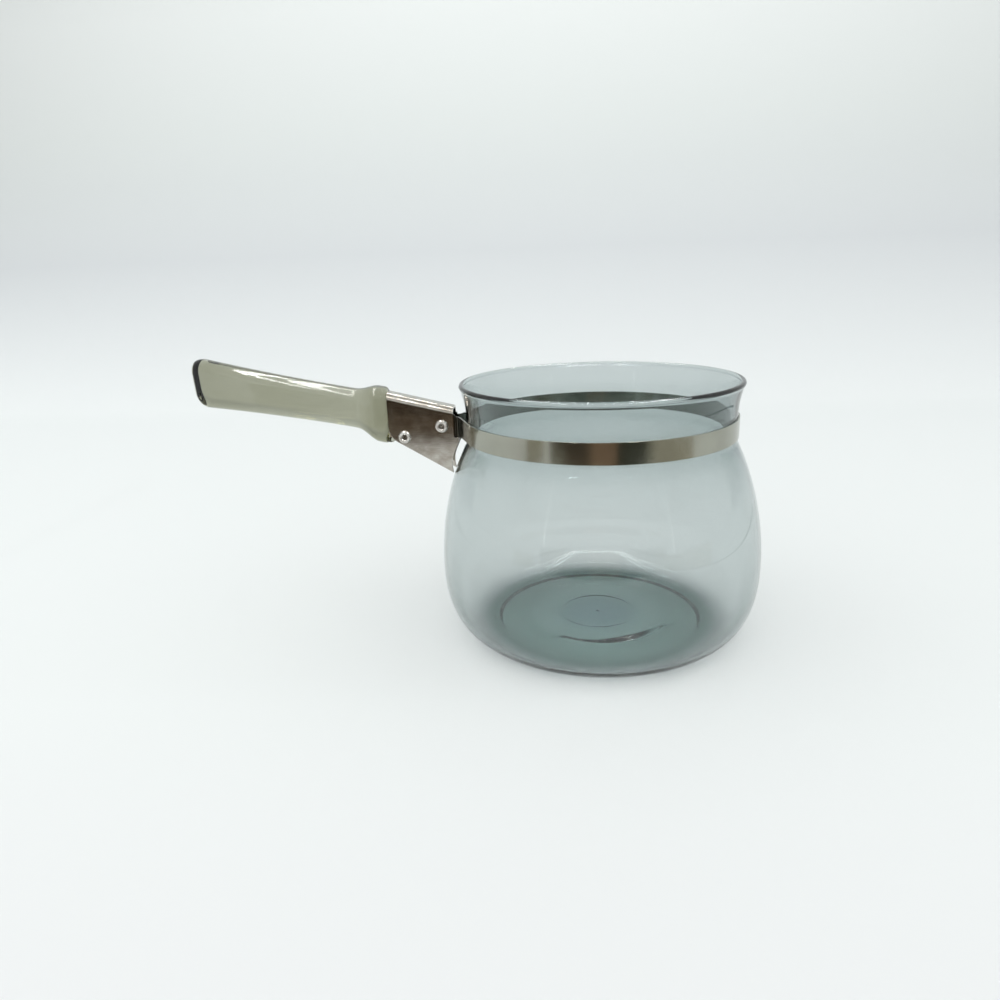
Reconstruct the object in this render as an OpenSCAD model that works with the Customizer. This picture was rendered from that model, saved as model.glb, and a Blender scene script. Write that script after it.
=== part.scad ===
// Lower pan of a glass double boiler: a blown glass pot with a flared collar, a steel strap
// round its neck, a folded steel bracket, and a solid glass handle whose tongue is riveted
// into the bracket. Millimetres, +Z up. The origin is the centre of the foot, on the table.
// The handle points along -X.

/* [Pot] */
// Height of the pot over its rim
pot_h = 136; // [130:1:150]
// Outside diameter of the rim bead
rim_d = 146; // [143:1:156]
// Outside diameter of the straight neck that the strap grips
neck_d = 140; // [132:1:142]
// Length of the straight neck
neck_len = 12; // [11.5:0.5:15]
// Widest diameter of the belly
belly_d = 171; // [164:1:180]
// Height of the widest point of the belly
belly_h = 40; // [34:1:46]
// Depth below the rim at which the sweep of the shoulder reaches the neck
neck_drop = 30.6; // [27:0.2:37]
// Outside diameter of the foot that stands on the table
foot_d = 124; // [112:1:134]
// Fullness of the curve between foot and belly, lower is rounder
heel_power = 0.82; // [0.7:0.02:1]
// Thickness of the glass at the neck
wall = 3; // [2.2:0.1:4]
// Thickness of the glass at the belly, where it was blown out thinnest
belly_t = 1.7; // [1.4:0.1:2.6]
// Height of the inside floor over the table
base_t = 3.8; // [3.4:0.1:6]
// Height of the round pad in the middle of that floor
pad_rise = 0.5; // [0.2:0.1:1]
// Diameter of the fire-polished round edge of the rim
bead_d = 2.8; // [2.6:0.1:3.6]
// Radius of the hollow fillet between shoulder and neck
neck_fillet = 6; // [4:0.5:9]
// Height of the hollow under the base
dome_h = 1; // [0.4:0.1:1.6]
// Width of the flat foot ring round that hollow
foot_ring = 4.5; // [3:0.5:8]

/* [Strap] */
// Height of the strap
strap_h = 10.3; // [8:0.1:11]
// Thickness of the strap
strap_t = 0.8; // [0.5:0.1:1.1]
// Distance from the neck to the bend of each strap end
ear_reach = 4; // [3:0.2:6]
// Length of the strap ends inside the bracket
ear_len = 15; // [13:0.5:18]

/* [Bracket] */
// Outside width of the folded bracket
bracket_w = 12; // [11:0.2:15]
// Thickness of the bracket steel
bracket_t = 1.2; // [0.8:0.1:1.5]
// Length of the bracket from its pot end to its handle end
bracket_len = 35; // [32:0.5:42]
// Height of the bracket's top over the middle of the strap, at the pot end
bracket_up = 10.3; // [9.8:0.1:13]
// Slope of the bracket's top, in degrees
bracket_rise = 13.5; // [9:0.5:16]
// Depth of the bracket's toe below the middle of the strap
toe_drop = 25; // [21:0.5:29]
// Slope of the bracket's underside, in degrees
under_rise = 30.3; // [27:0.1:33]
// Outer radius of the two folds along the top
fold_r = 3.5; // [2.4:0.1:4]
// Gap between the pot and the bracket's inner edge
cheek_gap = 3.8; // [2.5:0.1:4.5]

/* [Handle] */
// Length of the glass handle outside the bracket
handle_len = 105; // [85:1:125]
// Slope of the handle, in degrees
handle_rise = 10.4; // [5:0.1:14]
// Height of the handle at its waist
waist_h = 21; // [18:0.2:23]
// Extra height of the handle at its far end
tip_flare = 5.8; // [2:0.2:8]
// Thickness of the handle at its waist
waist_t = 13; // [11:0.2:15]
// Extra thickness of the handle at its far end
tip_swell = 2; // [0:0.2:3]
// Lean of the handle's end face from upright, its top outward, in degrees
tip_lean = 3; // [0:1:16]
// Rise of the collar over the waist, at the top
collar_up = 3.5; // [2:0.1:5]
// Drop of the collar below the waist, at the bottom
collar_down = 5.5; // [4:0.1:7]
// Swelling of the collar to each side
collar_side = 2; // [1.2:0.1:3]
// Radius that rounds the long edges of the handle
edge_r = 3; // [2:0.1:4.6]
// Length of the tongue inside the bracket
tongue_len = 20; // [16:0.5:20.4]
// Thickness of the fibre liner between tongue and steel
liner_t = 0.6; // [0.4:0.1:0.9]

/* [Rivets] */
// Diameter of the rivet shanks
shank_d = 4; // [3:0.1:4.6]
// Diameter of the rivet heads
head_d = 7; // [6:0.1:8]
// Height of the rivet heads
head_h = 1.3; // [0.9:0.1:1.8]
// Distance from the bracket's pot end to the strap rivet
strap_rivet_in = 6.2; // [5.4:0.1:7]
// Distance from the bracket's handle end to the handle rivet
handle_rivet_in = 8.5; // [7.5:0.1:9.5]

/* [Hidden] */

// Play between pieces that are clamped together, and between a rivet and its hole
seat_gap = 0.05;
hole_gap = 0.15;
// Play between the glass handle and the steel round it
glass_gap = 0.3;
round_fn = 96;
rivet_fn = 48;

// Pot outline. The shoulder is one arc, tangent to the belly; a hollow fillet joins it to
// the neck, and the collar is one more arc that flares from the neck to the bead.
rim_r = rim_d / 2;
neck_r = neck_d / 2;
belly_r = belly_d / 2;
foot_r = foot_d / 2;
bead_r = bead_d / 2;
shoulder_drop = belly_r - neck_r;
shoulder_h = pot_h - neck_drop;
shoulder_rise = shoulder_h - belly_h;
shoulder_r = (shoulder_rise ^ 2 + shoulder_drop ^ 2) / (2 * shoulder_drop);
shoulder_cr = belly_r - shoulder_r;
fillet_cr = neck_r + neck_fillet;
neck_z = belly_h + sqrt((shoulder_r + neck_fillet) ^ 2 - (fillet_cr - shoulder_cr) ^ 2);
shoulder_end = atan2(neck_z - belly_h, fillet_cr - shoulder_cr);
shoulder_top = belly_h + shoulder_r * sin(shoulder_end);
collar_z = neck_z + neck_len;
bead_z = pot_h - bead_r;
bead_proud = 0.2;
lip_t = bead_d - 2 * bead_proud;
// Keeps the collar's radius finite where neck and rim are of one size
never_zero = 0.01;
collar_out = rim_r - bead_r - neck_r + wall / 2 + never_zero;
collar_rise = bead_z - collar_z;
collar_r = (collar_rise ^ 2 + collar_out ^ 2) / (2 * collar_out);
collar_turn = asin(collar_rise / collar_r);

// Outer radius of the pot at a height between the belly and the top of the neck
function pot_r(z) =
    z > neck_z ? neck_r :
    z > shoulder_top ? fillet_cr - sqrt(neck_fillet ^ 2 - (neck_z - z) ^ 2) :
    shoulder_cr + sqrt(shoulder_r ^ 2 - (z - belly_h) ^ 2);

// Each outline point is [radius, height, normal angle, glass thickness];
// the heel thins quickly from the floor to the belly
heel_ease = 13;
function heel_point(t) =
    let (run = (belly_r - foot_r) * cos(t) ^ (2 - heel_power),
         climb = belly_h * heel_power * sin(t),
         turn = atan2(-run, climb),
         thick = belly_t + (base_t - belly_t) * cos(t) ^ heel_ease)
    [foot_r + (belly_r - foot_r) * sin(t), belly_h * (1 - cos(t) ^ heel_power), turn, thick];

// The shoulder stays thin until close to the neck
shoulder_ease = 4;
function shoulder_point(k) =
    let (a = shoulder_end * k)
    [shoulder_cr + shoulder_r * cos(a), belly_h + shoulder_r * sin(a), a,
     belly_t + (wall - belly_t) * k ^ shoulder_ease];

function fillet_point(a) = [fillet_cr - neck_fillet * cos(a), neck_z - neck_fillet * sin(a), a, wall];

// The collar flares along the middle of the glass, which thins towards the rim
function collar_point(a, thick) =
    [neck_r - wall / 2 + collar_r * (1 - cos(a)) + thick / 2 * cos(a),
     collar_z + (collar_r - thick / 2) * sin(a), -a, thick];

outline = concat(
    [for (i = [0:18]) heel_point(i * 5)],
    [for (i = [1:18]) shoulder_point(i / 18)],
    [for (i = [1:5]) fillet_point(shoulder_end * (1 - i / 5))],
    [for (i = [0:8]) collar_point(collar_turn * i / 8, wall + (lip_t - wall) * i / 8)]);

outer_wall = [for (p = outline) [p[0], p[1]]];
inner_wall = [for (i = [len(outline) - 1:-1:0]) let (p = outline[i])
    [p[0] - p[3] * cos(p[2]), p[1] - p[3] * sin(p[2])]];

// Underside: flat in the middle, then a crease, and a curve that runs down to the foot ring
foot_step = 3;
dome_r = foot_r - foot_ring - foot_step;
under_side = concat([[0, dome_h]],
    [for (i = [0:6]) [dome_r + foot_step * i / 6, dome_h * (1 - sin(15 * i))]]);

// Inside floor: flat at the heel, one step up to the pad in the middle
pad_r = 36.5;
pad_step = 1.5;
floor_side = [[pad_r + pad_step, base_t], [pad_r, base_t + pad_rise], [0, base_t + pad_rise]];

// Strap, bracket and handle lie along -X; each place is a distance from the pot's axis
strap_z = neck_z + (neck_len - strap_h) / 2;
strap_mid = strap_z + strap_h / 2;
strap_in_r = neck_r + seat_gap;
strap_r = strap_in_r + strap_t / 2;
channel_w = bracket_w - 2 * bracket_t;
ear_y = channel_w / 2 - seat_gap - strap_t / 2;
bend_x = neck_r + ear_reach;
ear_slack = 2.7;
bracket_in = bend_x + ear_slack;
bracket_out = bracket_in + bracket_len;
strap_rivet_x = bracket_in + strap_rivet_in;
strap_rivet_up = 0.4;
strap_rivet_z = strap_mid + strap_rivet_up;
ear_end = bend_x + ear_len;

// Top of the bracket, and the line where its fold meets the flat cheek
function top_z(x) = strap_mid + bracket_up + (x - bracket_in) * tan(bracket_rise);
fold_drop = fold_r / cos(bracket_rise);

// The toe rests against the shoulder of the pot
toe_z = strap_mid - toe_drop;
toe_gap = 0.3;
toe_x = pot_r(toe_z) + toe_gap;
function under_z(x) = toe_z + (x - toe_x) * tan(under_rise);
heel_r = 9;
step_drop = 0.7;
step_z = strap_z - step_drop;
cheek_blend = 10;
function cheek_x(z) = pot_r(z) + toe_gap
    + (cheek_gap - toe_gap) * sin(90 * min(1, (z - toe_z) / cheek_blend));

handle_rivet_x = bracket_out - handle_rivet_in;
handle_rivet_up = 5;
handle_rivet_z = under_z(handle_rivet_x) + handle_rivet_up;

// Glass handle. u is the distance from the collar's inner face, along the middle.
handle_x = bracket_out + glass_gap;
handle_z = (top_z(bracket_out) + under_z(bracket_out)) / 2;
crest_u = 5;
waist_u = 20;
face_round = 2.2;
tip_round = 7.5;
tip_side = 4;
collar_ease = 1.5;
tongue_t = channel_w - 2 * (liner_t + 2 * seat_gap);
tongue_fold = 2;

function collar_at(u) =
    u < crest_u ? 1 :
    u < waist_u ? ((1 + cos(180 * (u - crest_u) / (waist_u - crest_u))) / 2) ^ collar_ease : 0;
function flare_at(u) = u < waist_u ? 0 : ((u - waist_u) / (handle_len - waist_u)) ^ 2;
function rounding(d, r) = d >= r ? 0 : r - sqrt(r ^ 2 - (r - d) ^ 2);
function end_cut(u, tip) = rounding(u, face_round) + rounding(handle_len - u, tip);
function half_h(u) = (waist_h + tip_flare * flare_at(u)) / 2 - end_cut(u, tip_round);
function half_up(u) = half_h(u) + collar_up * collar_at(u);
function half_down(u) = half_h(u) + collar_down * collar_at(u);
function half_side(u) =
    (waist_t + tip_swell * flare_at(u)) / 2 + collar_side * collar_at(u) - end_cut(u, tip_side);
function centre_z(u) = handle_z + u * tan(handle_rise);

// One section of the handle: a rectangle with round corners, corner by corner. It leans
// outward more and more towards the end.
corner_steps = 6;
corner_share = 0.8;
function section(u) =
    let (side = half_side(u),
         r = min(edge_r, corner_share * min(side, half_up(u), half_down(u))),
         lean = tan(tip_lean) * flare_at(u))
    [for (corner = [0:3], step = [0:corner_steps])
        let (a = 90 * (corner + step / corner_steps),
             right = corner == 0 || corner == 3,
             high = corner < 2,
             rise = (high ? half_up(u) - r : r - half_down(u)) + r * sin(a))
        [-handle_x - u - lean * rise, (right ? side - r : r - side) + r * cos(a), centre_z(u) + rise]];

stations = concat(
    [for (i = [0:4]) face_round * (1 - cos(22.5 * i))],
    [for (i = [1:11]) face_round + (waist_u - face_round) * i / 11],
    [for (i = [1:8]) waist_u + (handle_len - tip_round - waist_u) * i / 8],
    [for (i = [1:6]) handle_len - tip_round * (1 - sin(15 * i))]);
ring = 4 * (corner_steps + 1);

module loft(sections) {
    n = len(sections);
    polyhedron(
        points = [for (s = sections) each s],
        faces = concat(
            [[for (i = [ring - 1:-1:0]) i]],
            [[for (i = [0:ring - 1]) (n - 1) * ring + i]],
            [for (k = [0:n - 2], i = [0:ring - 1]) let (j = (i + 1) % ring)
                [k * ring + i, k * ring + j, (k + 1) * ring + j]],
            [for (k = [0:n - 2], i = [0:ring - 1]) let (j = (i + 1) % ring)
                [k * ring + i, (k + 1) * ring + j, (k + 1) * ring + i]]),
        convexity = 6);
}

// A flat outline of [distance, height] points, cut out of a plate across the handle's plane
module side_plate(points, thickness, y = 0) {
    translate([0, y, 0])
        rotate([90, 0, 0])
            linear_extrude(height = thickness, center = true)
                polygon([for (p = points) [-p[0], p[1]]]);
}

module cross_hole(x, z, d) {
    translate([-x, 0, z])
        rotate([90, 0, 0])
            cylinder(d = d, h = 2 * bracket_w, center = true, $fn = rivet_fn);
}

// The bracket's folded section, drawn down from its top, then run along the top's slope
module folded_section(width, fold, depth) {
    for (side = [-1, 1])
        translate([side * (width / 2 - fold), -fold])
            circle(r = fold, $fn = rivet_fn);
    translate([-width / 2 + fold, -depth])
        square([width - 2 * fold, depth]);
    translate([-width / 2, -depth])
        square([width, depth - fold]);
}

section_depth = 60;
run_past = 12;
module folded_bar(width, fold, below) {
    translate([-bracket_in, 0, top_z(bracket_in)])
        rotate([0, bracket_rise, 0])
            translate([run_past, 0, 0])
                rotate([90, 0, -90])
                    linear_extrude(height = bracket_len / cos(bracket_rise) + 2 * run_past)
                        translate([0, -below])
                            folded_section(width, fold, section_depth);
}

function fillet_points(corner, r, a0, a1, steps) =
    [for (i = [0:steps]) let (a = a0 + (a1 - a0) * i / steps)
        [corner[0] + r * cos(a), corner[1] + r * sin(a)]];

cheek_steps = 9;
heel_x = bracket_out - heel_r;
heel_z = under_z(heel_x) + heel_r / cos(under_rise);
bracket_side = concat(
    [[bracket_out, top_z(bracket_out) + bracket_w]],
    [[bracket_in, top_z(bracket_in) + bracket_w]],
    [[bracket_in, step_z]],
    [for (i = [0:cheek_steps]) let (z = step_z + (toe_z - step_z) * i / cheek_steps) [cheek_x(z), z]],
    fillet_points([heel_x, heel_z], heel_r, under_rise - 90, 0, 8));

// The tongue and its liner fill the bracket from the collar to short of the strap ends
tongue_in = bracket_out - tongue_len;
tongue_drop = 0.2;
tongue_z = handle_rivet_z - tongue_drop;
tongue_nose = 3;
tongue_lift = 1.5;
function tongue_side(grow) =
    [[handle_x + face_round, top_z(bracket_out) + bracket_w],
     [tongue_in - grow, top_z(tongue_in) + bracket_w],
     [tongue_in - grow, tongue_z + tongue_lift - grow],
     [tongue_in + tongue_nose, tongue_z - grow],
     [handle_x + face_round, tongue_z - grow]];
liner_side =
    [[bracket_out - seat_gap, top_z(bracket_out) + bracket_w],
     [tongue_in - seat_gap, top_z(tongue_in) + bracket_w],
     [tongue_in - seat_gap, tongue_z + tongue_lift],
     [tongue_in + tongue_nose, tongue_z],
     [bracket_out - seat_gap, tongue_z]];

// The collar carries on under the bracket's round heel as a small lobe of glass
lobe_r = 3;
lobe_back = 0.6;
lobe_lift = 1;
lobe_x = bracket_out - lobe_back;
lobe_z = centre_z(0) - half_down(crest_u) + lobe_r + lobe_lift;

bend_r = 1.4;
reach = norm([bend_x, ear_y]);
lift_off = acos(strap_r / reach) + atan2(ear_y, bend_x);

module pot_glass() color("lightsteelblue") {
    rotate_extrude($fn = round_fn)
        polygon(concat(under_side, outer_wall, inner_wall, floor_side));
    rotate_extrude($fn = round_fn)
        translate([rim_r - bead_r, bead_z])
            circle(d = bead_d, $fn = rivet_fn);
}

// Centre line of a strap end in plan, as [distance, side]: off the neck, round the bend and
// straight into the bracket. Its turns are short arcs, so the strap keeps its thickness.
// It starts inside the ring and ends inside the ear, a hair thinner than both.
free_turn = 90 - lift_off;
bend_tangent = bend_r * tan(free_turn / 2);
bend_steps = 5;
hair = 0.03;
overlap = 0.5;
lift_dir = [cos(lift_off), sin(lift_off)];
lift_point = strap_r * lift_dir - overlap * [lift_dir[1], -lift_dir[0]];
function bend_point(i, r) =
    let (a = free_turn * (1 - i / bend_steps))
    [bend_x + bend_tangent - r * sin(a), ear_y + bend_r - r * cos(a)];
function free_edge(side) =
    concat([lift_point + side * lift_dir],
           [for (i = [0:bend_steps]) bend_point(i, bend_r - side)],
           [[ear_in + overlap, ear_y + side]]);
function reverse(list) = [for (i = [len(list) - 1:-1:0]) list[i]];

// The free stretch of a strap end, from where it leaves the neck to its bend
module strap_end(side) {
    half = strap_t / 2 - hair;
    edge = concat(free_edge(half), reverse(free_edge(-half)));
    translate([0, 0, strap_z + hair])
        linear_extrude(height = strap_h - 2 * hair)
            polygon([for (p = edge) [-p[0], side * p[1]]]);
}

ear_in = bend_x + bend_tangent + strap_t;
ear_round = 4;
ear_clear = 0.4;
ear_top = fold_drop + ear_clear;
ear_side =
    [[ear_in, strap_z],
     [ear_end - ear_round, strap_z],
     [ear_end, strap_z + ear_round],
     [ear_end, top_z(ear_end) - ear_top],
     [ear_in, top_z(ear_in) - ear_top]];

module neck_strap() color("silver")
    difference() {
        union() {
            translate([0, 0, strap_z])
                rotate([0, 0, lift_off - 180])
                    rotate_extrude(angle = 360 - 2 * lift_off, $fn = round_fn)
                        translate([strap_in_r, 0])
                            square([strap_t, strap_h]);
            for (side = [-1, 1]) {
                strap_end(side);
                side_plate(ear_side, strap_t, side * ear_y);
            }
        }
        cross_hole(strap_rivet_x, strap_rivet_z, shank_d + 2 * hole_gap);
    }

module handle_bracket() color("darkgray")
    difference() {
        intersection() {
            side_plate(bracket_side, bracket_w + 2);
            folded_bar(bracket_w, fold_r, 0);
        }
        folded_bar(channel_w, fold_r - bracket_t, bracket_t);
        cross_hole(strap_rivet_x, strap_rivet_z, shank_d + 2 * hole_gap);
        cross_hole(handle_rivet_x, handle_rivet_z, shank_d + 2 * hole_gap);
    }

module handle_glass() color("darkkhaki")
    difference() {
        union() {
            loft([for (u = stations) section(u)]);
            intersection() {
                side_plate(tongue_side(0), tongue_t);
                folded_bar(tongue_t, tongue_fold, bracket_t + liner_t + 2 * seat_gap);
            }
            translate([-lobe_x, 0, lobe_z])
                rotate([90, 0, 0])
                    cylinder(r = lobe_r, h = tongue_t, center = true, $fn = rivet_fn);
        }
        cross_hole(handle_rivet_x, handle_rivet_z, shank_d + 2 * glass_gap);
    }

module handle_liner() color("peru")
    difference() {
        intersection() {
            side_plate(liner_side, bracket_w);
            folded_bar(channel_w - 2 * seat_gap, fold_r - bracket_t - seat_gap, bracket_t + seat_gap);
        }
        folded_bar(tongue_t + 2 * seat_gap, tongue_fold + seat_gap, bracket_t + liner_t + seat_gap);
        cross_hole(handle_rivet_x, handle_rivet_z, shank_d + 2 * glass_gap);
    }

// A tubular rivet: a low domed head on the far side, a rolled rim with a pit on the near side
pit_d = 2.4;
pit_depth = 3;
module rivet(x, z) {
    half = bracket_w / 2;
    translate([-x, 0, z])
        rotate([90, 0, 0])
            rotate_extrude($fn = rivet_fn)
                polygon(concat(
                    [[0, -half - head_h]],
                    [for (i = [1:5]) [head_d / 2 * sin(18 * i), -half - head_h * cos(18 * i)]],
                    [[shank_d / 2, -half], [shank_d / 2, half], [head_d / 2, half]],
                    [for (i = [1:6]) let (a = 30 * i)
                        [(head_d + pit_d) / 4 + (head_d - pit_d) / 4 * cos(a), half + head_h * sin(a)]],
                    [[pit_d / 2, half - pit_depth], [0, half - pit_depth - pit_d / 2]]));
}

module strap_rivet() color("gainsboro")
    rivet(strap_rivet_x, strap_rivet_z);

module handle_rivet() color("gainsboro")
    rivet(handle_rivet_x, handle_rivet_z);

// Keeps the two strap ends against the cheeks when the rivet is closed
sleeve_t = 1;
module strap_rivet_sleeve() color("dimgray")
    translate([-strap_rivet_x, 0, strap_rivet_z])
        rotate([90, 0, 0])
            difference() {
                cylinder(d = shank_d + 2 * (hole_gap + sleeve_t), h = 2 * ear_y - strap_t,
                         center = true, $fn = rivet_fn);
                cylinder(d = shank_d + 2 * hole_gap, h = bracket_w, center = true, $fn = rivet_fn);
            }

pot_glass();
neck_strap();
handle_bracket();
strap_rivet();
strap_rivet_sleeve();
handle_glass();
handle_liner();
handle_rivet();
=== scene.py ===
import math

import bpy
from mathutils import Euler, Matrix, Vector

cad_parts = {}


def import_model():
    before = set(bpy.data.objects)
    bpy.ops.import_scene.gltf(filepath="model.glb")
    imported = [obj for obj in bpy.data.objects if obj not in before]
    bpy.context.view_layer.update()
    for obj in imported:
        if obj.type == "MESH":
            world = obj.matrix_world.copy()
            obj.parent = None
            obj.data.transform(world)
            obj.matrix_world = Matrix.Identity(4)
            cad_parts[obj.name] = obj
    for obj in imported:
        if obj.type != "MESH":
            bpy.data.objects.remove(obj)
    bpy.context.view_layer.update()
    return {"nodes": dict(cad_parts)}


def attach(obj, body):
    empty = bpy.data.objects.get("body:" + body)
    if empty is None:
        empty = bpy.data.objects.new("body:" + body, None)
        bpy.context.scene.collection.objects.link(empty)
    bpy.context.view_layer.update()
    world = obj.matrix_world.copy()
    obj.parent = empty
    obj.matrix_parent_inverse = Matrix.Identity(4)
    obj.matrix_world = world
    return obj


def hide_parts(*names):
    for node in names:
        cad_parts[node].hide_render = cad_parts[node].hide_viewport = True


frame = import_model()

MM = 0.001

# The pot, in millimetres, with the names and values of part.scad
POT_H = 136.0
RIM_D = 146.0
NECK_D = 140.0
NECK_LEN = 12.0
NECK_DROP = 30.6
NECK_FILLET = 6.0
BELLY_D = 171.0
BELLY_H = 40.0
FOOT_D = 124.0
FOOT_RING = 4.5
FOOT_STEP = 3.0
DOME_H = 1.0
HEEL_POWER = 0.82
HEEL_EASE = 13
SHOULDER_EASE = 4
WALL = 3.0
BELLY_T = 1.7
BASE_T = 3.8
PAD_RISE = 0.5
PAD_R = 36.5
PAD_STEP = 1.5
BEAD_D = 2.8
BEAD_PROUD = 0.2

# Strap and bracket, in millimetres and degrees, from part.scad
STRAP_H = 10.3
EAR_REACH = 4.0
EAR_SLACK = 2.7
BRACKET_W = 12.0
BRACKET_T = 1.2
BRACKET_LEN = 35.0
BRACKET_UP = 10.3
BRACKET_RISE = 13.5
TOE_DROP = 25.0
TOE_GAP = 0.3
UNDER_RISE = 30.3
SHANK_D = 4.0
HANDLE_RIVET_IN = 8.5
HANDLE_RIVET_UP = 5.0

# Handle, in millimetres and degrees, from part.scad
HANDLE_LEN = 105.0
HANDLE_RISE = 10.4
CREST_U = 5.0
WAIST_U = 20.0
WAIST_H = 21.0
WAIST_T = 13.0
TIP_FLARE = 5.8
TIP_SWELL = 2.0
TIP_LEAN = 3.0
COLLAR_UP = 3.5
COLLAR_DOWN = 5.5
COLLAR_SIDE = 2.0
COLLAR_EASE = 1.5
FACE_ROUND = 2.2
TONGUE_LEN = 20.0
TONGUE_DROP = 0.2
TONGUE_NOSE = 3.0
TONGUE_LIFT = 1.5
LINER_T = 0.6
LOBE_R = 3.0
LOBE_BACK = 0.6
LOBE_LIFT = 1.0
GLASS_GAP = 0.3
SEAT_GAP = 0.05

# Only here: the fire-polished edges of the handle are rounder than those of its CAD solid
EDGE_RISE = 5.5
EDGE_SHARE = 0.85
CORNER_SHARE = 0.8
TIP_ROUND = 6.0
TIP_SIDE = 4.0
TIP_SIDE_LEN = 3.5

# Only here: on the inside floor the pad's edge is folded up at the front and soft elsewhere.
# Directions are in degrees from +X, lengths in millimetres.
FOLD_AT, FOLD_SPREAD = -60, 32
FOLD_PAD_SHARE, FOLD_WIDER = 0.7, 2
FOLD_H, FOLD_BACK, FOLD_W = 0.75, 1.5, 1.6
SHARP_AT, SHARP_HALF, SHARP_FADE, SOFT_STEP = -75, 42, 16, 10
PRESSED_R, PRESSED_H, PRESSED_W = 20.4, 0.22, 0.9
PIP_H, PIP_W = 0.4, 1.2

# Numbers of facets
POT_SEGMENTS = 192
HEEL_STEPS, SHOULDER_STEPS, FILLET_STEPS, NECK_STEPS, COLLAR_STEPS = 40, 40, 8, 4, 14
BEAD_STEPS, UNDER_STEPS, CREASE_STEPS, FLOOR_STEPS = 16, 24, 16, 150
HANDLE_CORNER_STEPS, TONGUE_CORNER_STEPS, LOBE_SEGMENTS, BORE_SEGMENTS = 16, 8, 64, 48


def rad(degrees):
    return math.radians(degrees)


def new_mesh(name, verts, faces):
    mesh = bpy.data.meshes.new(name)
    mesh.from_pydata(verts, [], faces)
    mesh.validate()
    mesh.update()
    obj = bpy.data.objects.new(name, mesh)
    bpy.context.scene.collection.objects.link(obj)
    for poly in mesh.polygons:
        poly.use_smooth = True
    return obj


def apply_modifiers(obj):
    graph = bpy.context.evaluated_depsgraph_get()
    mesh = bpy.data.meshes.new_from_object(obj.evaluated_get(graph))
    obj.modifiers.clear()
    obj.data = mesh


# The pot: its outline is built from the same arcs as in part.scad, with more points on them
RIM_R = RIM_D / 2
NECK_R = NECK_D / 2
BELLY_R = BELLY_D / 2
FOOT_R = FOOT_D / 2
BEAD_R = BEAD_D / 2
DOME_R = FOOT_R - FOOT_RING - FOOT_STEP
SHOULDER_H = POT_H - NECK_DROP
SHOULDER_R = ((SHOULDER_H - BELLY_H) ** 2 + (BELLY_R - NECK_R) ** 2) / (2 * (BELLY_R - NECK_R))
SHOULDER_CR = BELLY_R - SHOULDER_R
FILLET_CR = NECK_R + NECK_FILLET
NECK_Z = BELLY_H + math.sqrt((SHOULDER_R + NECK_FILLET) ** 2 - (FILLET_CR - SHOULDER_CR) ** 2)
SHOULDER_END = math.atan2(NECK_Z - BELLY_H, FILLET_CR - SHOULDER_CR)
COLLAR_Z = NECK_Z + NECK_LEN
BEAD_Z = POT_H - BEAD_R
LIP_T = BEAD_D - 2 * BEAD_PROUD
COLLAR_OUT = RIM_R - BEAD_R + WALL / 2 - NECK_R
COLLAR_R = ((BEAD_Z - COLLAR_Z) ** 2 + COLLAR_OUT ** 2) / (2 * COLLAR_OUT)
COLLAR_TURN = math.asin((BEAD_Z - COLLAR_Z) / COLLAR_R)


def heel_point(t):
    never_zero = 1e-9
    c, s = max(math.cos(t), never_zero), math.sin(t)
    run = (BELLY_R - FOOT_R) * c ** (2 - HEEL_POWER)
    climb = BELLY_H * HEEL_POWER * s
    return (FOOT_R + (BELLY_R - FOOT_R) * s, BELLY_H * (1 - c ** HEEL_POWER),
            math.atan2(-run, climb), BELLY_T + (BASE_T - BELLY_T) * c ** HEEL_EASE)


def shoulder_point(k):
    a = SHOULDER_END * k
    return (SHOULDER_CR + SHOULDER_R * math.cos(a), BELLY_H + SHOULDER_R * math.sin(a), a,
            BELLY_T + (WALL - BELLY_T) * k ** SHOULDER_EASE)


def fillet_point(a):
    return FILLET_CR - NECK_FILLET * math.cos(a), NECK_Z - NECK_FILLET * math.sin(a), a, WALL


def collar_point(k):
    a, thick = COLLAR_TURN * k, WALL + (LIP_T - WALL) * k
    return (NECK_R - WALL / 2 + COLLAR_R * (1 - math.cos(a)) + thick / 2 * math.cos(a),
            COLLAR_Z + (COLLAR_R - thick / 2) * math.sin(a), -a, thick)


def outline():
    """The pot's outer wall from foot to bead, as (radius, height, normal angle, thickness)."""
    crowding, collar_share = 1.3, 0.95
    rows = [heel_point(rad(90) * (i / HEEL_STEPS) ** crowding) for i in range(HEEL_STEPS + 1)]
    rows += [shoulder_point(i / SHOULDER_STEPS) for i in range(1, SHOULDER_STEPS + 1)]
    rows += [fillet_point(SHOULDER_END * (1 - i / FILLET_STEPS)) for i in range(1, FILLET_STEPS + 1)]
    rows += [(NECK_R, NECK_Z + NECK_LEN * i / NECK_STEPS, 0, WALL) for i in range(1, NECK_STEPS + 1)]
    rows += [collar_point(collar_share * i / COLLAR_STEPS) for i in range(1, COLLAR_STEPS + 1)]
    return rows


def bead_side():
    """The round edge of the rim, from the collar's outer wall over the top to its inner wall."""
    start, sweep = -47, 236
    turns = [rad(start + sweep * i / BEAD_STEPS) for i in range(BEAD_STEPS + 1)]
    return [(RIM_R - BEAD_R + BEAD_R * math.cos(a), BEAD_Z + BEAD_R * math.sin(a)) for a in turns]


def smooth_step(k):
    k = min(max(k, 0.0), 1.0)
    return k * k * (3 - 2 * k)


def bell(x, spread):
    """1 in the middle, falling to nothing on both sides."""
    return math.exp(-(x / spread) ** 2)


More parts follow.
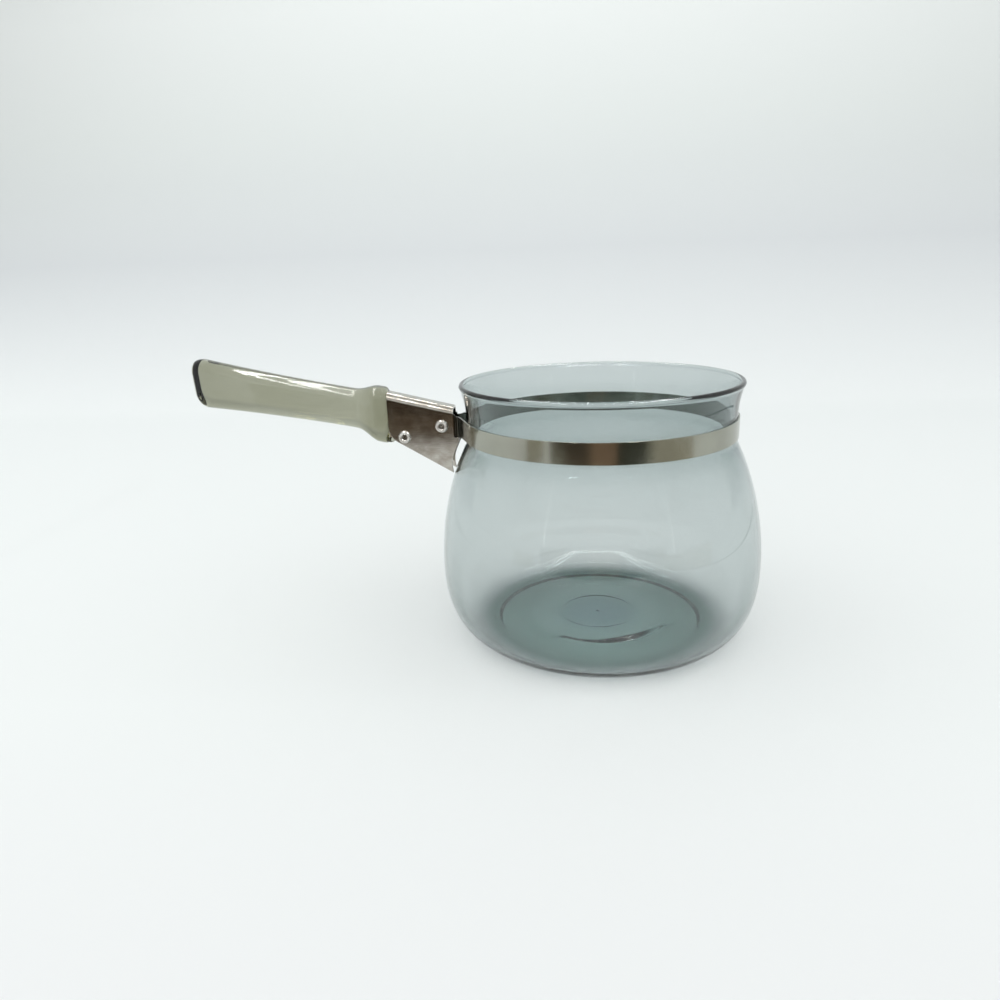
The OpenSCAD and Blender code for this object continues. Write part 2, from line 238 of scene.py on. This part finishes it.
def floor_height(r, turn=0.0):
    """The inside floor: a raised pad whose edge is uneven, with a pressed ring and a pip on it."""
    deg = math.degrees(turn)
    lap = bell(deg - FOLD_AT, FOLD_SPREAD)
    soft = smooth_step((abs(deg - SHARP_AT) - SHARP_HALF) / SHARP_FADE)
    step = PAD_STEP + FOLD_WIDER * lap + SOFT_STEP * soft
    pad = PAD_RISE * (1 + FOLD_PAD_SHARE * lap) * (1 - smooth_step((r - PAD_R) / step))
    fold = FOLD_H * lap * bell(r - PAD_R + FOLD_BACK, FOLD_W)
    ring = PRESSED_H * bell(r - PRESSED_R, PRESSED_W)
    return BASE_T + pad + fold + ring + PIP_H * bell(r, PIP_W)


def floor_side(edge_r):
    """The inside floor from its edge to the axis."""
    radii = [edge_r * (1 - i / FLOOR_STEPS) for i in range(1, FLOOR_STEPS + 1)]
    return [(r, floor_height(r)) for r in radii]


def under_height(r):
    """The underside: flat in the middle, then a crease and a curve down to the foot ring."""
    k = min(max((r - DOME_R) / FOOT_STEP, 0.0), 1.0)
    return DOME_H * (1 - math.sin(rad(90) * k))


def under_side():
    """The underside from the axis to the foot ring, with a point close by on each side of its crease."""
    beside = 0.25
    radii = [DOME_R * i / UNDER_STEPS for i in range(UNDER_STEPS)] + [DOME_R - beside]
    radii += [DOME_R + beside + (FOOT_STEP - beside) * i / CREASE_STEPS for i in range(CREASE_STEPS + 1)]
    return [(r, under_height(r)) for r in radii]


def pot_profile():
    """The pot's whole section, from the axis below, round the rim, to the axis above."""
    rows = outline()
    outer = [(r, z) for r, z, _, _ in rows]
    inner = [(r - t * math.cos(n), z - t * math.sin(n)) for r, z, n, t in reversed(rows)]
    edge_r = inner[-1][0]
    return under_side() + outer + bead_side() + inner + floor_side(edge_r)


def uneven_floor(pot):
    """Lifts the inside floor's points to the height that belongs to their direction."""
    centre_r, edge, below = 1, 2, 0.2
    for vert in pot.data.vertices:
        x, y, z = vert.co / MM
        r = math.hypot(x, y)
        if centre_r < r < FOOT_R - edge and z > BASE_T - below:
            vert.co.z = floor_height(r, math.atan2(y, x)) * MM


def revolve(name, profile, segments):
    """A closed body of revolution whose profile starts and ends on the axis."""
    verts = [(0, 0, profile[0][1] * MM)]
    body = profile[1:-1]
    for r, z in body:
        for k in range(segments):
            a = 2 * math.pi * k / segments
            verts.append((r * math.cos(a) * MM, r * math.sin(a) * MM, z * MM))
    verts.append((0, 0, profile[-1][1] * MM))
    top = len(verts) - 1
    last = 1 + (len(body) - 1) * segments
    faces = []
    for k in range(segments):
        n = (k + 1) % segments
        faces.append((0, 1 + n, 1 + k))
        for a in range(1, last, segments):
            b = a + segments
            faces.append((a + k, a + n, b + n, b + k))
        faces.append((last + k, last + n, top))
    return new_mesh(name, verts, faces)


# The handle: it starts at the bracket, whose place comes from the neck and the strap.
# A place x is a distance from the pot's axis towards -X.
STRAP_Z = NECK_Z + (NECK_LEN - STRAP_H) / 2
STRAP_MID = STRAP_Z + STRAP_H / 2
BRACKET_IN = NECK_R + EAR_REACH + EAR_SLACK
BRACKET_OUT = BRACKET_IN + BRACKET_LEN
CHANNEL_W = BRACKET_W - 2 * BRACKET_T
TOE_Z = STRAP_MID - TOE_DROP
TOE_X = SHOULDER_CR + math.sqrt(SHOULDER_R ** 2 - (TOE_Z - BELLY_H) ** 2) + TOE_GAP


def top_z(x):
    return STRAP_MID + BRACKET_UP + (x - BRACKET_IN) * math.tan(rad(BRACKET_RISE))


def under_z(x):
    return TOE_Z + (x - TOE_X) * math.tan(rad(UNDER_RISE))


HANDLE_X = BRACKET_OUT + GLASS_GAP
HANDLE_Z = (top_z(BRACKET_OUT) + under_z(BRACKET_OUT)) / 2
HANDLE_RIVET_X = BRACKET_OUT - HANDLE_RIVET_IN
HANDLE_RIVET_Z = under_z(HANDLE_RIVET_X) + HANDLE_RIVET_UP
TONGUE_T = CHANNEL_W - 2 * (LINER_T + 2 * SEAT_GAP)
TONGUE_Z = HANDLE_RIVET_Z - TONGUE_DROP


def collar_at(u):
    """How much of the collar's swelling there is at u, the distance from its inner face."""
    if u < CREST_U:
        return 1.0
    if u >= WAIST_U:
        return 0.0
    return ((1 + math.cos(math.pi * (u - CREST_U) / (WAIST_U - CREST_U))) / 2) ** COLLAR_EASE


def flare_at(u):
    return 0.0 if u < WAIST_U else ((u - WAIST_U) / (HANDLE_LEN - WAIST_U)) ** 2


def rounding(d, r):
    """What an edge rounded to radius r lacks at the distance d from the end."""
    return 0.0 if d >= r else r - math.sqrt(max(r * r - (r - d) ** 2, 0))


def handle_section(u):
    """Centre height, half height up and down, half width, and the corners' two radii at u."""
    face_cut, to_tip = rounding(u, FACE_ROUND), HANDLE_LEN - u
    half_h = (WAIST_H + TIP_FLARE * flare_at(u)) / 2 - (face_cut + rounding(to_tip, TIP_ROUND))
    up, down = half_h + COLLAR_UP * collar_at(u), half_h + COLLAR_DOWN * collar_at(u)
    side_cut = face_cut + TIP_SIDE * rounding(to_tip, TIP_SIDE_LEN) / TIP_SIDE_LEN
    side = (WAIST_T + TIP_SWELL * flare_at(u)) / 2 + COLLAR_SIDE * collar_at(u) - side_cut
    edge = (EDGE_SHARE * side, min(EDGE_RISE, CORNER_SHARE * min(up, down)))
    return HANDLE_Z + u * math.tan(rad(HANDLE_RISE)), up, down, side, edge


def rounded_ring(x, zc, up, down, side, edge, steps, lean=0.0):
    """One rounded rectangle at -x, counter-clockwise seen from +X; its top leans outward."""
    ry, rz = edge
    ring = []
    for corner in range(4):
        right, high = corner in (0, 3), corner < 2
        for k in range(steps + 1):
            a = rad(90) * (corner + k / steps)
            y = (side - ry if right else ry - side) + ry * math.cos(a)
            rise = (up - rz if high else rz - down) + rz * math.sin(a)
            ring.append(((-x - lean * rise) * MM, y * MM, (zc + rise) * MM))
    return ring


def loft(name, rings):
    n = len(rings[0])
    verts = [p for ring in rings for p in ring]
    faces = [tuple(reversed(range(n)))]
    faces.append(tuple((len(rings) - 1) * n + i for i in range(n)))
    for k in range(len(rings) - 1):
        for i in range(n):
            j = (i + 1) % n
            faces.append((k * n + i, k * n + j, (k + 1) * n + j, (k + 1) * n + i))
    return new_mesh(name, verts, faces)


def handle_stations():
    """Where the handle's sections lie, close together where its ends are rounded."""
    face_steps, collar_steps, grip_steps, tip_steps = 8, 36, 60, 14
    grip = HANDLE_LEN - TIP_ROUND - WAIST_U
    us = [FACE_ROUND * (1 - math.cos(rad(90) * i / face_steps)) for i in range(face_steps + 1)]
    us += [FACE_ROUND + (WAIST_U - FACE_ROUND) * i / collar_steps for i in range(1, collar_steps + 1)]
    us += [WAIST_U + grip * i / grip_steps for i in range(1, grip_steps + 1)]
    us += [HANDLE_LEN - TIP_ROUND * (1 - math.sin(rad(90) * i / tip_steps)) for i in range(1, tip_steps + 1)]
    return us


def tongue_rings():
    """Sections of the tongue from its nose in the bracket to just inside the collar."""
    nose_round, corner_r = 0.5, 1.9
    round_steps, nose_steps, body_steps = 4, 4, 8
    inner = BRACKET_OUT - TONGUE_LEN
    body = HANDLE_X + FACE_ROUND - inner - TONGUE_NOSE
    xs = [inner + nose_round * (1 - math.cos(rad(90) * i / round_steps)) for i in range(round_steps + 1)]
    xs += [inner + nose_round + (TONGUE_NOSE - nose_round) * i / nose_steps for i in range(1, nose_steps + 1)]
    xs += [inner + TONGUE_NOSE + body * i / body_steps for i in range(1, body_steps + 1)]
    clear = (BRACKET_T + LINER_T + 2 * SEAT_GAP) / math.cos(rad(BRACKET_RISE))
    rings = []
    for x in xs:
        nose = max(0.0, 1 - (x - inner) / TONGUE_NOSE)
        shrink = rounding(x - inner, nose_round)
        low = TONGUE_Z + TONGUE_LIFT * nose + shrink
        high = top_z(x) - clear - shrink
        mid = (low + high) / 2
        corner = corner_r - shrink
        rings.append(rounded_ring(x, mid, high - mid, mid - low, TONGUE_T / 2 - shrink, (corner, corner),
                                  TONGUE_CORNER_STEPS))
    return rings


def cross_cylinder(name, x, z, radius, width, segments):
    verts, faces = [], []
    for side in (-1, 1):
        for k in range(segments):
            a = 2 * math.pi * k / segments
            verts.append(((-x + radius * math.cos(a)) * MM, side * width / 2 * MM,
                          (z + radius * math.sin(a)) * MM))
    faces.append(tuple(range(segments)))
    faces.append(tuple(reversed(range(segments, 2 * segments))))
    for k in range(segments):
        n = (k + 1) % segments
        faces.append((k, segments + k, segments + n, n))
    return new_mesh(name, verts, faces)


def combine(obj, tool, operation):
    mod = obj.modifiers.new(operation, "BOOLEAN")
    mod.operation, mod.object, mod.solver = operation, tool, "EXACT"
    apply_modifiers(obj)
    bpy.data.objects.remove(tool)


def smooth_by_angle(obj, degrees):
    """Smooth shading with hard edges where faces meet at more than this angle."""
    mesh = obj.data
    for poly in mesh.polygons:
        poly.use_smooth = True
    mesh.set_sharp_from_angle(angle=rad(degrees))


def build_lobe():
    """The collar carries on under the bracket's round heel as a small lobe of glass."""
    crest_down = handle_section(CREST_U)[2]
    z = HANDLE_Z - crest_down + LOBE_R + LOBE_LIFT
    return cross_cylinder("lobe", BRACKET_OUT - LOBE_BACK, z, LOBE_R, TONGUE_T, LOBE_SEGMENTS)


def build_bore():
    radius = SHANK_D / 2 + GLASS_GAP
    return cross_cylinder("bore", HANDLE_RIVET_X, HANDLE_RIVET_Z, radius, 2 * BRACKET_W, BORE_SEGMENTS)


def build_handle():
    rings = []
    for u in handle_stations():
        zc, up, down, side, edge = handle_section(u)
        lean = math.tan(rad(TIP_LEAN)) * flare_at(u)
        rings.append(rounded_ring(HANDLE_X + u, zc, up, down, side, edge, HANDLE_CORNER_STEPS, lean))
    handle = loft("glass_handle", rings)
    combine(handle, loft("tongue", tongue_rings()), "UNION")
    combine(handle, build_lobe(), "UNION")
    combine(handle, build_bore(), "DIFFERENCE")
    smooth_by_angle(handle, degrees=35)
    return handle


class Shader:
    """A material's node tree with short calls for what is used here. Its lengths are in metres."""

    def __init__(self, name):
        self.mat = bpy.data.materials.new(name)
        self.mat.use_nodes = True
        self.tree = self.mat.node_tree
        self.bsdf = self.tree.nodes["Principled BSDF"]
        self.out = self.tree.nodes["Material Output"]

    def node(self, kind, **values):
        node = self.tree.nodes.new(kind)
        for key, value in values.items():
            setattr(node, key, value)
        return node

    def link(self, source, target):
        self.tree.links.new(source, target)

    def feed(self, source, name):
        """Links a value to one of the surface's own sockets."""
        self.link(source, self.bsdf.inputs[name])

    def set(self, **values):
        for key, value in values.items():
            self.bsdf.inputs[key.replace("_", " ")].default_value = value

    def coords(self, scale=(1, 1, 1), turn=(0, 0, 0)):
        place = self.node("ShaderNodeTexCoord")
        mapping = self.node("ShaderNodeMapping")
        mapping.inputs["Scale"].default_value = scale
        mapping.inputs["Rotation"].default_value = turn
        self.link(place.outputs["Object"], mapping.inputs["Vector"])
        return mapping.outputs["Vector"]

    def split(self, vector):
        node = self.node("ShaderNodeSeparateXYZ")
        self.link(vector, node.inputs["Vector"])
        return [node.outputs[axis] for axis in "XYZ"]

    def join(self, **parts):
        node = self.node("ShaderNodeCombineXYZ")
        for axis, value in parts.items():
            self.link(value, node.inputs[axis])
        return node.outputs["Vector"]

    def noise(self, vector, scale, detail=3.0, rough=0.5):
        tex = self.node("ShaderNodeTexNoise")
        tex.inputs["Scale"].default_value = scale
        tex.inputs["Detail"].default_value = detail
        tex.inputs["Roughness"].default_value = rough
        self.link(vector, tex.inputs["Vector"])
        return tex.outputs["Fac"]

    def spread(self, value, low, high, to_low, to_high):
        node = self.node("ShaderNodeMapRange", clamp=True)
        for key, number in (("From Min", low), ("From Max", high), ("To Min", to_low), ("To Max", to_high)):
            node.inputs[key].default_value = number
        self.link(value, node.inputs["Value"])
        return node.outputs["Result"]

    def ramp(self, value, stops):
        node = self.node("ShaderNodeValToRGB")
        bar = node.color_ramp
        while len(bar.elements) < len(stops):
            bar.elements.new(0.5)
        for element, (place, colour) in zip(bar.elements, stops):
            element.position = place
            element.color = (*colour, 1)
        self.link(value, node.inputs["Fac"])
        return node.outputs["Color"]

    def math(self, operation, a, b=None):
        node = self.node("ShaderNodeMath", operation=operation)
        for socket, value in zip(node.inputs, (a, b)):
            if value is None:
                continue
            if isinstance(value, (int, float)):
                socket.default_value = value
            else:
                self.link(value, socket)
        return node.outputs[0]

    def vector_math(self, operation, a, b):
        node = self.node("ShaderNodeVectorMath", operation=operation)
        self.link(a, node.inputs[0])
        self.link(b, node.inputs["Scale" if operation == "SCALE" else 1])
        return node.outputs["Value" if operation == "DOT_PRODUCT" else "Vector"]

    def bump(self, height, strength, distance, normal=None):
        node = self.node("ShaderNodeBump")
        node.inputs["Strength"].default_value = strength
        node.inputs["Distance"].default_value = distance
        self.link(height, node.inputs["Height"])
        if normal is not None:
            self.link(normal, node.inputs["Normal"])
        return node.outputs["Normal"]

    def round_edges(self, radius):
        node = self.node("ShaderNodeBevel", samples=6)
        node.inputs["Radius"].default_value = radius
        return node.outputs["Normal"]

    def absorb(self, colour, density):
        node = self.node("ShaderNodeVolumeAbsorption")
        node.inputs["Color"].default_value = (*colour, 1)
        node.inputs["Density"].default_value = density
        self.link(node.outputs["Volume"], self.out.inputs["Volume"])


def glass_material(name, absorb, density, wave_scale, wave):
    """Clear glass with slow waves in its surface and fine wear in smeared patches."""
    s = Shader(name)
    s.set(Base_Color=(1, 1, 1, 1), IOR=1.47, Transmission_Weight=1.0)
    scratch = s.noise(s.coords((1, 1, 0.2), (0.3, 0.2, 0.5)), 900, 2.0)
    smear = s.noise(s.coords(), 35)
    s.feed(s.math("MULTIPLY", s.spread(smear, 0.52, 0.75, 0, 0.05), s.spread(scratch, 0.45, 0.7, 0, 1)),
           "Roughness")
    waves = s.noise(s.coords(), wave_scale, 1.5)
    s.feed(s.bump(waves, wave, 0.001), "Normal")
    s.absorb(absorb, density)
    return s


def pot_glass_material():
    """Smoky blue glass whose tint gathers in the neck; on the floor the tint is partly the glass's colour and
    partly painted shade, and the heel's outline carries a painted dark edge.
    """
    # On the floor the tint is partly the glass's own colour and partly painted shade: the pot's shadow on the
    # floor beneath, seen through the base.
    floor_tints_and_shade = [(0.013, (0.63, 0.75, 0.775)), (0.026, (0.755, 0.88, 0.855)),
                   (0.034, (0.75, 0.87, 0.845)), (0.041, (0.665, 0.795, 0.765)),
                   (0.059, (0.62, 0.745, 0.715)), (0.066, (1, 1, 1))]
    neck_tints = [(0.098, (1, 1, 1)), (0.108, (0.87, 0.89, 0.89))]
    # Painted shade: a dark edge along the heel's outline.
    heel_edge_shade = [(0.0, (1, 1, 1)), (1.0, (0.60, 0.65, 0.65))]
    s = glass_material("blue_grey_glass", (0.15, 0.29, 0.29), 142.0, 22.0, 0.05)
    x, y, z = s.split(s.coords())
    radius = s.math("SQRT", s.math("ADD", s.math("MULTIPLY", x, x), s.math("MULTIPLY", y, y)))
    streak = s.spread(s.noise(s.coords((1, 1, 2)), 30), 0.3, 0.7, -0.001, 0.001)
    # Painted shade: where the low wall is seen edge-on, its colour darkens into a dark outline.
    facing = s.node("ShaderNodeLayerWeight").outputs["Facing"]
    rim = s.math("MULTIPLY", s.spread(facing, 0.55, 0.75, 0, 1), s.spread(z, 0.016, 0.036, 1, 0))
    tint = s.ramp(s.math("ADD", radius, streak), floor_tints_and_shade)
    for other in (s.ramp(s.math("ADD", z, streak), neck_tints), s.ramp(rim, heel_edge_shade)):
        tint = s.vector_math("MULTIPLY", tint, other)
    s.feed(tint, "Base Color")
    return s.mat


def handle_glass_material():
    """Straw-green glass with faint cords drawn out along the handle."""
    s = glass_material("straw_glass", (0.365, 0.36, 0.18), 104.0, 60.0, 0.15)
    cord = s.noise(s.coords((0.35, 1, 1), (0, rad(HANDLE_RISE), 0)), 90, 3.0, 0.6)
    s.feed(s.ramp(cord, [(0.35, (0.93, 0.93, 0.91)), (0.6, (1, 1, 1))]), "Base Color")
    return s.mat


def leaning_normal(s, normal, lean):
    """Turns a wall's normal up on its outside and down on its inside."""
    outward = s.math("SIGN", s.vector_math("DOT_PRODUCT", normal, s.coords()))
    return s.vector_math("ADD", normal, s.join(Z=s.math("MULTIPLY", outward, lean)))


def strap_material():
    """Steel brushed round the neck, with painted shade where the strap leaves the neck."""
    dark_x, unshaded_x, painted_shade = -0.0705, -0.0665, 0.35
    s = Shader("brushed_strap")
    x, y, z = s.split(s.coords())
    along = s.math("MULTIPLY", s.math("ARCTAN2", y, x), NECK_R * MM)
    grain = s.noise(s.join(X=s.math("MULTIPLY", along, 0.02), Z=z), 6000, 2.0)
    smear = s.noise(s.coords(), 45)
    steel = s.ramp(smear, [(0.3, (0.30, 0.30, 0.255)), (0.7, (0.385, 0.385, 0.33))])
    # Painted shade: the steel's colour darkens towards -X, on the stretch where the strap leaves the neck.
    s.feed(s.vector_math("SCALE", steel, s.spread(x, dark_x, unshaded_x, painted_shade, 1.0)), "Base Color")
    s.set(Metallic=1.0, Anisotropic=0.7)
    s.feed(s.math("ADD", s.spread(grain, 0.3, 0.7, 0.10, 0.14), s.spread(smear, 0.4, 0.8, 0.0, 0.04)),
           "Roughness")
    s.feed(s.bump(grain, 0.2, 0.00002, leaning_normal(s, s.round_edges(0.00025), 0.03)), "Normal")
    s.feed(s.node("ShaderNodeTangent", direction_type="RADIAL", axis="Z").outputs["Tangent"], "Tangent")
    return s.mat


def bracket_material():
    """Steel brushed along the bracket, with brown stains worked into its polish."""
    s = Shader("worn_bracket_steel")
    grain = s.noise(s.coords((0.05, 1, 1), (0, rad(BRACKET_RISE), 0)), 2500, 2.0)
    smear = s.noise(s.coords(), 70, 4.0, 0.6)
    stain = s.noise(s.coords((1, 1, 1.6)), 160, 5.0, 0.65)
    s.feed(s.ramp(stain, [(0.35, (0.36, 0.325, 0.28)), (0.6, (0.50, 0.475, 0.425)),
                          (0.8, (0.60, 0.575, 0.53))]), "Base Color")
    s.set(Metallic=1.0)
    s.feed(s.math("ADD", s.spread(grain, 0.3, 0.7, 0.06, 0.10), s.spread(smear, 0.45, 0.8, 0.0, 0.06)),
           "Roughness")
    s.feed(s.bump(grain, 0.12, 0.00002, s.round_edges(0.00025)), "Normal")
    return s.mat


def rivet_material():
    s = Shader("worn_rivet")
    wear = s.noise(s.coords(), 400, 4.0, 0.6)
    s.feed(s.ramp(wear, [(0.35, (0.50, 0.47, 0.43)), (0.65, (0.74, 0.72, 0.69))]), "Base Color")
    s.set(Metallic=1.0)
    s.feed(s.spread(wear, 0.3, 0.75, 0.16, 0.34), "Roughness")
    s.feed(s.bump(wear, 0.3, 0.00008, s.round_edges(0.0002)), "Normal")
    return s.mat


def liner_material():
    s = Shader("pressed_fibre")
    fibre = s.noise(s.coords((1, 1, 0.25), (0.4, 0.6, 0.2)), 1400, 4.0, 0.7)
    patch = s.noise(s.coords(), 150)
    mixed = s.math("ADD", s.math("MULTIPLY", fibre, 0.6), s.math("MULTIPLY", patch, 0.4))
    s.feed(s.ramp(mixed, [(0.35, (0.16, 0.12, 0.08)), (0.65, (0.42, 0.34, 0.24))]), "Base Color")
    s.set(Roughness=0.92)
    s.feed(s.bump(fibre, 0.6, 0.0002), "Normal")
    return s.mat


# The stage, in metres
BOX_FRONT = -0.462


def emission(name, colour, strength):
    mat = bpy.data.materials.new(name)
    mat.use_nodes = True
    tree = mat.node_tree
    tree.nodes.clear()
    out = tree.nodes.new("ShaderNodeOutputMaterial")
    glow = tree.nodes.new("ShaderNodeEmission")
    glow.inputs["Color"].default_value = (*colour, 1)
    glow.inputs["Strength"].default_value = strength
    tree.links.new(glow.outputs["Emission"], out.inputs["Surface"])
    return mat


def reflected(name, colour, strength=1.0):
    """Glows only for rays that were mirrored on their way; straight through glass it is clear."""
    mat = emission(name, colour, strength)
    mat.cycles.emission_sampling = "NONE"
    tree = mat.node_tree
    glow, out = tree.nodes["Emission"], tree.nodes["Material Output"]
    clear = tree.nodes.new("ShaderNodeBsdfTransparent")
    path = tree.nodes.new("ShaderNodeLightPath")
    mirrored = tree.nodes.new("ShaderNodeMath")
    mirrored.operation = "GREATER_THAN"
    mirrored.inputs[1].default_value = 0.5
    mix = tree.nodes.new("ShaderNodeMixShader")
    tree.links.new(path.outputs["Glossy Depth"], mirrored.inputs[0])
    tree.links.new(mirrored.outputs[0], mix.inputs[0])
    tree.links.new(clear.outputs[0], mix.inputs[1])
    tree.links.new(glow.outputs[0], mix.inputs[2])
    tree.links.new(mix.outputs[0], out.inputs["Surface"])
    return mat


def only_mirrored(obj):
    """Seen only in the glass and the steel: it lights nothing and stands in nobody's view."""
    obj.visible_camera = obj.visible_diffuse = obj.visible_shadow = False
    obj.visible_volume_scatter = False


def card(name, corners, material):
    obj = new_mesh(name, corners, [(0, 1, 2, 3)])
    obj.data.materials.append(material)
    only_mirrored(obj)


def card_across(name, y, x0, x1, z0, z1, material):
    card(name, [(x0, y, z0), (x1, y, z0), (x1, y, z1), (x0, y, z1)], material)


def card_along(name, x, y0, y1, z1, material):
    card(name, [(x, y0, 0.0), (x, y1, 0.0), (x, y1, z1), (x, y0, z1)], material)


def card_flat(name, z, x0, x1, y0, y1, material):
    card(name, [(x0, y0, z), (x1, y0, z), (x1, y1, z), (x0, y1, z)], material)


def open_front():
    """The photo was taken in a white box: its open front shows a dark room with brown wood."""
    room_top, shade_gap, shade_low = 0.10, 0.002, 0.034
    room = [(-0.37, -0.23, (0.235, 0.225, 0.18)), (-0.23, -0.06, (0.13, 0.10, 0.07)),
            (-0.06, 0.09, (0.30, 0.205, 0.14)), (0.09, 0.30, (0.06, 0.065, 0.05)),
            (0.30, 0.40, (0.26, 0.26, 0.21))]
    for n, (x0, x1, colour) in enumerate(room):
        card_across(f"room_{n}", BOX_FRONT, x0, x1, 0, room_top, reflected(f"room_{n}", colour))
    shade = reflected("room_shade", (0.06, 0.045, 0.03))
    card_across("room_upper", BOX_FRONT + shade_gap, -0.37, -0.10, shade_low, room_top, shade)
    pale = reflected("pale_wall", (1.0, 1.0, 0.98), 2.6)
    card_across("left_edge", BOX_FRONT, -0.354, -0.344, 0.10, 0.40, pale)
    card_across("right_edge", BOX_FRONT, 0.487, 0.497, 0.06, 0.40, pale)


def box_sides():
    """The box's dim side walls, low over the floor, and strips of painted shade in the creases at their feet.
    """
    crease_shade_back, crease_shade_half, crease_shade_z, side_top = 0.3, 0.007, 0.001, 0.06
    # Painted shade: dark strips where the side walls meet the floor.
    crease_shade = reflected("crease_shade", (0.12, 0.13, 0.13))
    side = reflected("dim_side", (0.50, 0.48, 0.40))
    for name, x, back in (("left", -0.44, -0.28), ("right", 0.37, -0.13)):
        card_flat(f"{name}_seam", crease_shade_z, x - crease_shade_half, x + crease_shade_half, BOX_FRONT, crease_shade_back, crease_shade)
        card_along(f"{name}_side", x, BOX_FRONT, back, side_top, side)


def paper_material():
    """White paper with painted shade that darkens it up the backdrop and towards its upper corners."""
    # Painted shade: darker at the front of the floor and in a band up the backdrop.
    bands = [(0.08, (0.845, 0.845, 0.85)), (0.15, (0.868, 0.880, 0.877)),
             (0.54, (0.87, 0.885, 0.885)), (0.785, (0.69, 0.705, 0.72)),
             (0.90, (0.79, 0.81, 0.80)), (0.985, (0.87, 0.885, 0.875))]
    corner_dark, corner_most = -0.42, -0.26
    s = Shader("white_paper")
    paper = s.noise(s.coords(), 300, 4.0)
    x, y, z = s.split(s.coords())
    along = s.math("ADD", s.math("ADD", y, z), s.spread(paper, 0.2, 0.8, -0.004, 0.004))
    shade = s.ramp(s.spread(along, -0.4, 1.6, 0, 1), bands)
    # Painted shade towards the upper corners.
    corner = s.math("MULTIPLY", s.math("MULTIPLY", x, x), s.math("MULTIPLY", z, corner_dark))
    corner = s.spread(corner, corner_most, 0.0, corner_most, 0.0)
    # Painted shade: a little lighter to the left than to the right.
    level = s.math("ADD", corner, s.spread(x, -1.0, 1.0, 1.03, 0.97))
    s.feed(s.vector_math("SCALE", shade, level), "Base Color")
    s.set(Roughness=0.9, Specular_IOR_Level=0.2)
    s.feed(s.bump(paper, 0.1, 0.0002), "Normal")
    return s.mat


def sweep_floor():
    """Floor and backdrop in one curved sheet, a hair under the pan's foot."""
    bend_y, bend_r, top, front, half = 0.62, 0.35, 1.6, -2.6, 3.0
    under_gap, flat_steps, bend_steps = 0.0002, 8, 16
    path = [(front + (bend_y - front) * i / flat_steps, 0) for i in range(flat_steps + 1)]
    for i in range(1, bend_steps + 1):
        a = rad(90) * i / bend_steps
        path.append((bend_y + bend_r * math.sin(a), bend_r * (1 - math.cos(a))))
    path.append((bend_y + bend_r, top))
    verts, faces = [], []
    for y, z in path:
        verts += [(-half, y, z - under_gap), (half, y, z - under_gap)]
    for i in range(len(path) - 1):
        faces.append((2 * i, 2 * i + 1, 2 * i + 3, 2 * i + 2))
    obj = new_mesh("floor", verts, faces)
    obj.data.materials.append(paper_material())


def lamp_places():
    """Two rectangular rows of lamps, one inside the other."""
    centre_y, half_x, half_y, step, row_gap = -0.10, 0.26, 0.40, 0.04, 0.05
    across, along = int(2 * half_x / step) + 1, int(2 * half_y / step) + 1
    places = []
    for inset in (0, row_gap):
        for side in (-1, 1):
            places += [(-half_x + i * step, side * (half_y - inset)) for i in range(across)]
            places += [(side * (half_x - inset), -half_y + i * step) for i in range(along)]
    return [(x, centre_y + y) for x, y in places]


def lamp_frame():
    """Small square lamps overhead, mirrored in the glass."""
    height, half_size, strength = 0.62, 0.012, 30
    verts, faces = [], []
    for x, y in lamp_places():
        n = len(verts)
        for side_x, side_y in ((-1, -1), (-1, 1), (1, 1), (1, -1)):
            verts.append((x + side_x * half_size, y + side_y * half_size, height))
        faces.append((n, n + 1, n + 2, n + 3))
    obj = new_mesh("lamp_dots", verts, faces)
    obj.data.materials.append(emission("lamp_dot", (1, 1, 1), strength))
    only_mirrored(obj)


def world():
    """The same pale light from all round, a little dimmer where it is mirrored or seen through glass."""
    level_lit, level_mirrored = 1.17, 0.88
    w = bpy.data.worlds.new("studio")
    bpy.context.scene.world = w
    w.use_nodes = True
    tree = w.node_tree
    back = tree.nodes["Background"]
    back.inputs["Color"].default_value = (0.957, 0.985, 0.98, 1)
    path = tree.nodes.new("ShaderNodeLightPath")
    seen = tree.nodes.new("ShaderNodeMath")
    seen.operation = "MAXIMUM"
    level = tree.nodes.new("ShaderNodeMapRange")
    level.inputs["To Min"].default_value = level_lit
    level.inputs["To Max"].default_value = level_mirrored
    tree.links.new(path.outputs["Is Glossy Ray"], seen.inputs[0])
    tree.links.new(path.outputs["Is Transmission Ray"], seen.inputs[1])
    tree.links.new(seen.outputs[0], level.inputs["Value"])
    tree.links.new(level.outputs["Result"], back.inputs["Strength"])


def camera():
    """The photo's lens, place and angles, fitted to the pan's outline."""
    place_mm, turn_deg = (-13.718, -392.838, 192.165), (72.8344, 1.9799, 5.2263)
    data = bpy.data.cameras.new("camera")
    data.lens, data.sensor_width = 27.0, 36.0
    data.clip_start, data.clip_end = 0.01, 20
    obj = bpy.data.objects.new("camera", data)
    turn = Euler([rad(angle) for angle in turn_deg])
    obj.matrix_world = Matrix.LocRotScale(Vector(place_mm) * MM, turn, None)
    bpy.context.scene.collection.objects.link(obj)
    bpy.context.scene.camera = obj


def dress_node(name, material):
    mesh = frame["nodes"][name].data
    mesh.materials.clear()
    mesh.materials.append(material)


camera()
world()
sweep_floor()
lamp_frame()
open_front()
box_sides()

pot = revolve("glass_pot", pot_profile(), POT_SEGMENTS)
uneven_floor(pot)
pot.data.materials.append(pot_glass_material())
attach(pot, "root")
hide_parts("pot_glass")

handle = build_handle()
handle.data.materials.append(handle_glass_material())
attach(handle, "root")
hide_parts("handle_glass")

dress_node("neck_strap", strap_material())
dress_node("handle_bracket", bracket_material())
dress_node("handle_liner", liner_material())
steel = rivet_material()
for rivet_node in ("strap_rivet", "handle_rivet", "strap_rivet_sleeve"):
    dress_node(rivet_node, steel)

bpy.context.scene.view_settings.view_transform = "Standard"
